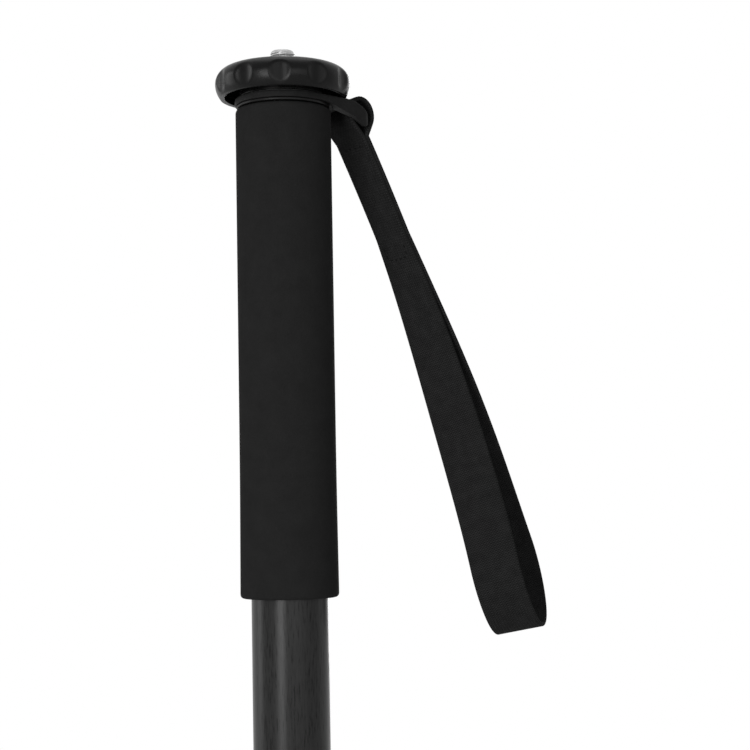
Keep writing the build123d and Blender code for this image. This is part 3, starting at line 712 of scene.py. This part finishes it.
def platform_pad():
    """Rubber ring with grooves round it, which the camera sits on."""
    outer = radius_of("platform_pad")
    pitch = (outer - PAD_HOLE_RADIUS - 2 * PAD_MARGIN - PAD_GROOVE_WIDTH) / (PAD_GROOVES - 1)
    corners = [(PAD_HOLE_RADIUS, PAD_FLOOR), (outer, PAD_FLOOR), (outer, PAD_TOP)]
    for n in range(PAD_GROOVES):
        start = outer - PAD_MARGIN - n * pitch
        end = start - PAD_GROOVE_WIDTH
        corners += [(start, PAD_TOP), (start, PAD_TOP - PAD_GROOVE_DEPTH),
                    (end, PAD_TOP - PAD_GROOVE_DEPTH), (end, PAD_TOP)]
    corners.append((PAD_HOLE_RADIUS, PAD_TOP))
    groove_radii = [PAD_GROOVE_DEPTH / 3] * (4 * PAD_GROOVES)
    radii = [SHARP_EDGE, SHARP_EDGE, PAD_EDGE] + groove_radii + [PAD_EDGE]
    return lathe("grooved_pad", rounded(corners, radii), RUBBER)


# Camera stud

def threaded(r, z, angle):
    """Radius of the stud: its plain shank, then the thread, which ends below the rounded tip."""
    if z < PAD_FLOOR:
        return r
    below_top = STUD_TOP - z
    if below_top < STUD_TIP:
        rise = 1 - below_top / STUD_TIP
        swell = STUD_TIP_RADIUS - STUD_FLAT_RADIUS
        return STUD_FLAT_RADIUS + swell * math.sqrt(max(1 - rise * rise, 0))
    turns = (z - PAD_TOP) / THREAD_PITCH - angle / (2 * math.pi) + THREAD_START_SHARE
    share = abs((turns % 1.0) - 0.5) * 2
    flat = THREAD_FLAT_SHARE
    return r - THREAD_DEPTH * min(max((share - flat) / (1 - 2 * flat), 0), 1)


def camera_stud():
    """Steel stud with a cut thread, on a plain shank that stands in the wheel."""
    height = STUD_TOP - PAD_FLOOR
    outline = [(STUD_ROOT_RADIUS, low("camera_stud")[2]),
               (STUD_ROOT_RADIUS, PAD_FLOOR - THREAD_RUN_OUT)]
    outline += [(STUD_RADIUS, PAD_FLOOR + height * n / STUD_LEVELS) for n in range(STUD_LEVELS + 1)]
    return lathe("threaded_stud", outline, STEEL, sides=STUD_SIDES, shape=threaded, capped=True)


# Strap ring

def strap_ring():
    """The solid ring with all its edges and inner corners worked smooth."""
    solid = frame["nodes"]["strap_ring"]
    mesh = solid.data.copy()
    mesh.transform(solid.matrix_world)
    shell = bmesh.new()
    shell.from_mesh(mesh)
    bmesh.ops.remove_doubles(shell, verts=shell.verts, dist=WELD_DISTANCE)
    shell.to_mesh(mesh)
    shell.free()
    obj = bpy.data.objects.new("smooth_strap_ring", mesh)
    bpy.context.scene.collection.objects.link(obj)
    remesh = obj.modifiers.new("remesh", "REMESH")
    remesh.mode = "VOXEL"
    remesh.voxel_size = RING_GRAIN
    smooth = obj.modifiers.new("smooth", "SMOOTH")
    smooth.factor = RING_SMOOTHING_SHARE
    smooth.iterations = RING_SMOOTHING
    worked = bpy.data.meshes.new_from_object(obj.evaluated_get(
        bpy.context.evaluated_depsgraph_get()))
    obj.modifiers.clear()
    obj.data = worked
    worked.materials.clear()
    worked.materials.append(RING_METAL)
    worked.polygons.foreach_set("use_smooth", [True] * len(worked.polygons))
    return obj


# Twist locks

def lock_ferrule(lock):
    """Metal sleeve on the end of the outer tube, with a rounded collar at its top."""
    node = f"lock_{lock}_ferrule"
    bottom, top, outer = low(node)[2], high(node)[2], radius_of(node)
    bore = radius_of(OUTER_TUBES[lock - 1]) + SEAT_GAP
    wall, collar = bore + FERRULE_WALL, top - COLLAR_HEIGHT
    corners = [(bore, bottom), (wall, bottom), (wall, collar), (outer, collar), (outer, top),
               (bore, top)]
    radii = [SHARP_EDGE, SHARP_EDGE, SHARP_EDGE, LOCK_EDGE, COLLAR_EDGE, LOCK_EDGE]
    return lathe(f"lock_{lock}_collar", rounded(corners, radii), LOCK_METAL)


def lock_nut(lock):
    """Metal nut with a rim at each end of the rubber sleeve's seat, and a lip round the inner tube."""
    node = f"lock_{lock}_nut"
    bottom, top, rim = low(node)[2], high(node)[2], radius_of(node)
    waist = rim - SLEEVE_WALL - SEAT_GAP
    bore = waist - NUT_WALL
    lip = radius_of(INNER_TUBES[lock - 1]) + NUT_SLIDE_GAP
    corners = [(lip, bottom), (rim, bottom), (rim, bottom + NUT_RIM), (waist, bottom + NUT_RIM),
               (waist, top - NUT_RIM), (rim, top - NUT_RIM), (rim, top), (bore, top),
               (bore, bottom + NUT_LIP), (lip, bottom + NUT_LIP)]
    return lathe(f"lock_{lock}_rimmed_nut", rounded(corners, LOCK_EDGE), LOCK_METAL)


def lock_sleeve(lock):
    """Rubber sleeve with rounded ribs that run along it."""
    node = f"lock_{lock}_sleeve"
    bottom, top, outer = low(node)[2], high(node)[2], radius_of(node)
    inner = outer - SLEEVE_WALL

    def ribbed(r, z, angle):
        turn = angle * SLEEVE_RIBS / (2 * math.pi) % 1.0
        away = abs(turn - 0.5) / (SLEEVE_GROOVE_SHARE / 2)
        if r < inner + SLEEVE_WALL / 2 or away >= 1:
            return r
        return r - SLEEVE_GROOVE_DEPTH * math.cos(math.pi / 2 * away) ** 2

    corners = [(inner, bottom), (outer, bottom), (outer, top), (inner, top)]
    radii = [SHARP_EDGE, LOCK_EDGE, LOCK_EDGE, SHARP_EDGE]
    return lathe(f"lock_{lock}_ribbed_sleeve", rounded(corners, radii), RUBBER,
                 sides=SLEEVE_RIBS * SIDES_PER_RIB, shape=ribbed)


# Foot

def rubber_foot():
    """Moulded foot with soft edges and grip rings round its neck."""
    top = high("rubber_foot")[2]
    cup = radius_of("fourth_tube") + SEAT_GAP
    cup_floor = low("foot_plug")[2] - SEAT_GAP
    taper_top = FOOT_SOLE_HEIGHT + FOOT_TAPER_HEIGHT
    corners = [(FOOT_WELL_RADIUS / 4, 0), (FOOT_RADIUS, 0), (FOOT_RADIUS, FOOT_SOLE_HEIGHT),
               (FOOT_NECK_RADIUS, taper_top)]
    radii = [0, FOOT_EDGE, FOOT_EDGE, FOOT_EDGE]
    for ring in range(FOOT_GROOVES):
        end = taper_top + (ring + 1) * FOOT_GROOVE_PITCH
        start = end - FOOT_GROOVE_HEIGHT
        waist = FOOT_NECK_RADIUS - FOOT_GROOVE_DEPTH
        corners += [(FOOT_NECK_RADIUS, start), (waist, start), (waist, end),
                    (FOOT_NECK_RADIUS, end)]
        radii += [FOOT_GROOVE_DEPTH / 2] * 4
    corners += [(FOOT_NECK_RADIUS, top), (cup, top), (cup, cup_floor),
                (FOOT_WELL_RADIUS, cup_floor), (FOOT_WELL_RADIUS, FOOT_SOLE_THICKNESS),
                (FOOT_WELL_RADIUS / 4, FOOT_SOLE_THICKNESS)]
    radii += [FOOT_EDGE, FOOT_GROOVE_DEPTH, SHARP_EDGE, SHARP_EDGE, SHARP_EDGE, 0]
    return lathe("moulded_foot", rounded(corners, radii), RUBBER, capped=True)


def foot_spike():
    """Steel spike: a point below, a collar against the plug and a shank inside it."""
    node = "foot_spike"
    bottom, top, collar = low(node)[2], high(node)[2], radius_of(node)
    plug = low("foot_plug")[2]
    corners = [(SPIKE_POINT, bottom), (SPIKE_RADIUS, bottom + SPIKE_TIP_HEIGHT),
               (SPIKE_RADIUS, plug - SPIKE_COLLAR_HEIGHT), (collar, plug - SPIKE_COLLAR_HEIGHT),
               (collar, plug), (SPIKE_RADIUS, plug), (SPIKE_RADIUS, top), (SPIKE_POINT, top)]
    radii = [0, SPIKE_POINT, 0, SPIKE_POINT, SPIKE_POINT, 0, SPIKE_POINT, 0]
    return lathe("pointed_spike", rounded(corners, radii), STEEL, sides=64, capped=True)


# Wrist strap

def twist_share(along):
    """Share of the strap's twist that is done at a place: none along most of the sewn band."""
    share = (along - STRAP_TWIST_START) / STRAP_TWIST_LENGTH
    return math.sin(math.pi / 2 * min(max(share, 0), 1))


def strap_place(along):
    """Point, width direction and normal of the strap's middle line at a place along it."""
    bend = (STRAP_END_TILT - STRAP_TOP_TILT) / STRAP_LENGTH
    tilt = STRAP_TOP_TILT + bend * along
    reach = STRAP_REACH + (math.cos(STRAP_TOP_TILT) - math.cos(tilt)) / bend
    height = RING_TOP - STRAP_DROP - (math.sin(tilt) - math.sin(STRAP_TOP_TILT)) / bend
    outward = Vector((math.cos(EAR_AZIMUTH), math.sin(EAR_AZIMUTH), 0))
    point = outward * reach + UP * height
    direction = outward * math.sin(tilt) - UP * math.cos(tilt)
    facing = EAR_AZIMUTH + math.pi / 2 + STRAP_TWIST * twist_share(along)
    level = Vector((math.cos(facing), math.sin(facing), 0))
    width = (level - direction * level.dot(direction)).normalized()
    return point, width, direction.cross(width)


def wrist_turn():
    """Half width, depth, middle and lean of the oval end where the wrist loop turns back."""
    opening = WRIST_HALF_OPENING - WEBBING_THICKNESS / 2
    lean = 0
    for _ in range(SETTLING_ROUNDS):
        radius = WRIST_HALF_OPENING / math.cos(lean)
        depth = radius * WRIST_TURN_SHARE
        middle = STRAP_LENGTH - WEBBING_THICKNESS / 2 - depth
        start = middle - depth * math.sin(lean)
        lean = math.atan(2 * opening * WRIST_TURN_SHARE / (start - STRAP_BAND_LENGTH))
    return radius, depth, middle, lean


def bar_loop_path():
    """Middle line of the webbing round the bar, from one layer of the band to the other."""
    outward = Vector((math.cos(EAR_AZIMUTH), math.sin(EAR_AZIMUTH), 0))
    middle = outward * BAR_LOOP_REACH + UP * (RING_TOP - BAR_LOOP_DROP)
    band_top, width, normal = strap_place(0)
    rise = (middle - band_top).normalized()
    side = width.cross(rise)
    half = WEBBING_THICKNESS / 2
    distance = (middle - band_top).length / BAR_LOOP_HEIGHT_SHARE
    lean = math.asin((BAR_LOOP_RADIUS - half) / distance)
    height = BAR_LOOP_RADIUS * BAR_LOOP_HEIGHT_SHARE
    turn = []
    for n in range(BAR_TURN_STEPS + 1):
        angle = -lean + (math.pi + 2 * lean) * n / BAR_TURN_STEPS
        spoke = side * (BAR_LOOP_RADIUS * math.cos(angle)) + rise * (height * math.sin(angle))
        turn.append((middle + spoke, width))
    legs = []
    for sign, touch in ((1, turn[0][0]), (-1, turn[-1][0])):
        start = band_top + normal * half * sign
        legs.append([(start.lerp(touch, n / BAR_LEG_STEPS), width) for n in range(BAR_LEG_STEPS)])
    return legs[0] + turn + legs[1][::-1]


def layer_path():
    """Middle line of the webbing down from the band's top, round the wrist loop and back up."""
    radius, depth, middle, lean = wrist_turn()
    start = middle - depth * math.sin(lean)
    half = WEBBING_THICKNESS / 2
    path = [(STRAP_BAND_LENGTH * n / LAYER_STEPS, half) for n in range(LAYER_STEPS)]
    for n in range(2 * LAYER_STEPS):
        share = n / (2 * LAYER_STEPS)
        along = STRAP_BAND_LENGTH + (start - STRAP_BAND_LENGTH) * share
        path.append((along, half + (WRIST_HALF_OPENING - half) * share ** 2))
    turn = []
    for n in range(LAYER_STEPS + 1):
        angle = -lean + (math.pi + 2 * lean) * n / LAYER_STEPS
        turn.append((middle + depth * math.sin(angle), radius * math.cos(angle)))
    back = [(along, -offset) for along, offset in reversed(path)]
    out = []
    for along, offset in path + turn + back:
        point, width, normal = strap_place(along)
        out.append((point + normal * offset, width))
    return out


def resample(path, spacing):
    """Lengths, points and directions at even steps along a path of points with directions."""
    points = np.array([tuple(p) for p, w in path])
    widths = np.array([tuple(w) for p, w in path])
    lengths = np.concatenate([[0], np.cumsum(np.linalg.norm(np.diff(points, axis=0), axis=1))])
    count = max(2, int(round(lengths[-1] / spacing)))
    at = np.linspace(0, lengths[-1], count + 1)
    points = np.stack([np.interp(at, lengths, points[:, k]) for k in range(3)], axis=1)
    widths = np.stack([np.interp(at, lengths, widths[:, k]) for k in range(3)], axis=1)
    widths /= np.linalg.norm(widths, axis=1)[:, None]
    return at, points, widths


def webbing_profile():
    """Section of the webbing: places across and through it, and the share of a rib's lift there."""
    half_width, half = WEBBING_WIDTH / 2, WEBBING_THICKNESS / 2
    flat = half_width - SELVAGE_ROUND
    top = [(-flat + 2 * flat * n / ACROSS_STEPS, half, 1.0) for n in range(ACROSS_STEPS + 1)]
    turn = []
    for n in range(1, SELVAGE_STEPS):
        angle = math.pi / 2 - math.pi * n / SELVAGE_STEPS
        turn.append((flat + SELVAGE_ROUND * math.cos(angle), half * math.sin(angle),
                     SELVAGE_LIFT_SHARE))
    edge = top + turn
    return edge + [(-x, -y, lift) for x, y, lift in edge]


def wrist_strap():
    """One closed run of webbing, round the bar and round the wrist loop, and its length."""
    path = bar_loop_path() + layer_path()[::-1]
    at, points, widths = resample(path[:-1], RIB_PITCH / RIB_STEPS)
    heading = np.roll(points, -1, axis=0) - np.roll(points, 1, axis=0)
    heading /= np.linalg.norm(heading, axis=1)[:, None]
    widths -= heading * (widths * heading).sum(axis=1)[:, None]
    widths /= np.linalg.norm(widths, axis=1)[:, None]
    through = np.cross(heading, widths)
    profile = webbing_profile()
    verts = []
    for n in range(len(points)):
        rib = RIB_HEIGHT * (0.5 + 0.5 * math.cos(2 * math.pi * at[n] / RIB_PITCH)) - RIB_HEIGHT
        for x, y, lift in profile:
            thick = y + math.copysign(rib * lift, y) if y else y
            verts.append(points[n] + widths[n] * x + through[n] * thick)
    faces = grid_faces(len(points), len(profile), wrap_rows=True)
    strap = piece("wrist_webbing", verts, faces, WEBBING)
    corner = np.empty(len(strap.data.loops), dtype=int)
    strap.data.loops.foreach_get("vertex_index", corner)
    row, column = np.divmod(corner, len(profile))
    across = np.array([x for x, y, lift in profile])
    weave = np.stack([across[column], at[row]], axis=1)
    strap.data.uv_layers.new(name="weave").data.foreach_set("uv", weave.ravel())
    return strap, at[-1]


def seams():
    """Places along and across the sewn band of its two stitch lines.

    The first goes straight across. The last rounds the band's low end, with a short run up each edge.
    """
    reach = WEBBING_WIDTH / 2 - STITCH_INSET
    first = [(FIRST_SEAM, -reach), (FIRST_SEAM, reach)]
    last = [(LAST_SEAM - SIDE_SEAM_LENGTH, -reach)]
    for sign in (-1, 1):
        for n in range(SEAM_CORNER_STEPS + 1):
            turn = math.pi / 2 * (n if sign < 0 else SEAM_CORNER_STEPS - n) / SEAM_CORNER_STEPS
            last.append((LAST_SEAM - SEAM_CORNER * (1 - math.sin(turn)),
                         sign * (reach - SEAM_CORNER * (1 - math.cos(turn)))))
    last.append((LAST_SEAM - SIDE_SEAM_LENGTH, reach))
    return [first, last]


def stitch(start, end, lift):
    """One stitch between two points: a thread that dips into the webbing at both ends."""
    heading = (end - start).normalized()
    side = heading.cross(lift)
    verts = []
    for n in range(STITCH_ROWS):
        share = n / (STITCH_ROWS - 1)
        arch = math.sqrt(math.sin(math.pi * share))
        middle = start.lerp(end, share) + lift * (STITCH_RADIUS * (arch - 1) - STITCH_SINK)
        radius = STITCH_RADIUS * (STITCH_END_SHARE + (1 - STITCH_END_SHARE) * arch)
        for k in range(STITCH_SIDES):
            angle = 2 * math.pi * k / STITCH_SIDES
            verts.append(middle + (side * math.cos(angle) + lift * math.sin(angle)) * radius)
    return verts, grid_faces(STITCH_ROWS, STITCH_SIDES) + end_faces(STITCH_ROWS, STITCH_SIDES)


def strap_stitching():
    """All the stitches of both seams, on the front and on the back of the band."""
    verts, faces = [], []
    for line in seams():
        for sign in (-1, 1):
            path = []
            for along, across in line:
                point, width, normal = strap_place(along)
                lift = normal * sign
                path.append((point + width * across + lift * WEBBING_THICKNESS, lift))
            _, points, lifts = resample(path, STITCH_LENGTH + STITCH_GAP)
            for n in range(len(points) - 1):
                start, end = Vector(points[n]), Vector(points[n + 1])
                gap = (end - start).normalized() * (STITCH_GAP / 2)
                new_verts, new_faces = stitch(start + gap, end - gap, Vector(lifts[n]))
                faces += [[k + len(verts) for k in face] for face in new_faces]
                verts += new_verts
    return piece("strap_stitching", verts, faces, THREAD)


# Room, lights and camera

def floor():
    half = FLOOR_SIZE / 2
    corners = [(-half, -half, 0), (half, -half, 0), (half, half, 0), (-half, half, 0)]
    ground = piece("floor", corners, [(0, 1, 2, 3)], floor_material(), smooth=False)


def world():
    """White where the world is seen or mirrored, and a dim, even light elsewhere."""
    made = bpy.data.worlds.new("studio")
    bpy.context.scene.world = made
    made.use_nodes = True
    tree = made.node_tree
    room = tree.nodes["Background"]
    room.inputs["Color"].default_value = (1, 1, 1, 1)
    room.inputs["Strength"].default_value = ROOM_STRENGTH
    white = tree.nodes.new("ShaderNodeBackground")
    white.inputs["Color"].default_value = (1, 1, 1, 1)
    white.inputs["Strength"].default_value = 1.0
    mix = tree.nodes.new("ShaderNodeMixShader")
    tree.links.new(seen_rays(tree), mix.inputs[0])
    tree.links.new(room.outputs[0], mix.inputs[1])
    tree.links.new(white.outputs[0], mix.inputs[2])
    tree.links.new(mix.outputs[0], tree.nodes["World Output"].inputs["Surface"])


def softbox(name, place, size, watts):
    """Flat lamp that faces the point which all the lamps face."""
    lamp = bpy.data.lights.new(name, "AREA")
    lamp.shape = "RECTANGLE"
    lamp.size, lamp.size_y = size
    lamp.energy = watts
    obj = bpy.data.objects.new(name, lamp)
    bpy.context.scene.collection.objects.link(obj)
    obj.location = place
    toward = Vector(LAMPS_FACE) - Vector(place)
    obj.rotation_euler = toward.to_track_quat("-Z", "Y").to_euler()


def camera():
    """Camera before the object, turned by its yaw and pitch and then by its roll."""
    forward = Vector((math.sin(CAMERA_YAW) * math.cos(CAMERA_PITCH),
                      math.cos(CAMERA_YAW) * math.cos(CAMERA_PITCH), math.sin(CAMERA_PITCH)))
    right = forward.cross(UP).normalized()
    above = right.cross(forward)
    roll_cos, roll_sin = math.cos(CAMERA_ROLL), math.sin(CAMERA_ROLL)
    right, above = right * roll_cos + above * roll_sin, above * roll_cos - right * roll_sin
    lens = bpy.data.cameras.new("camera")
    lens.lens = CAMERA_LENS
    lens.sensor_width = SENSOR_WIDTH
    lens.clip_start = CAMERA_NEAR
    obj = bpy.data.objects.new("camera", lens)
    bpy.context.scene.collection.objects.link(obj)
    place = Vector((0, -CAMERA_DISTANCE, GRIP_BOTTOM + CAMERA_ABOVE_GRIP))
    turn = Matrix((right, above, -forward)).transposed().to_4x4()
    obj.matrix_world = Matrix.Translation(place) @ turn
    bpy.context.scene.camera = obj


bpy.context.scene.view_settings.view_transform = "Standard"
camera()
world()
floor()
for name, (place, size, watts) in LAMPS.items():
    softbox(name, place, size, watts)
dress_nodes()

grip = dress(foam_grip(), "upper", "foam_grip")
dress(section_tube("bare_upper_tube", "upper_tube"), "upper", "upper_tube")
dress(head_neck(), "upper", "head_neck")
dress(thumb_wheel(), "wheel", "thumb_wheel")
dress(platform_pad(), "wheel", "platform_pad")
dress(camera_stud(), "wheel", "camera_stud")
dress(strap_ring(), "ring", "strap_ring")

for section, node in enumerate(INNER_TUBES, start=2):
    dress(section_tube(f"sliding_{node}", node), f"section_{section}", node)
for lock in range(1, len(OUTER_TUBES) + 1):
    body = "upper" if lock == 1 else f"section_{lock}"
    dress(lock_ferrule(lock), body, f"lock_{lock}_ferrule")
    dress(lock_nut(lock), f"lock_{lock}", f"lock_{lock}_nut")
    dress(lock_sleeve(lock), f"lock_{lock}", f"lock_{lock}_sleeve")
dress(rubber_foot(), "foot", "rubber_foot")
dress(foot_spike(), "section_4", "foot_spike")

strap, strap_length = wrist_strap()
dress(strap, "strap", "wrist_strap")
dress(strap_stitching(), "strap")
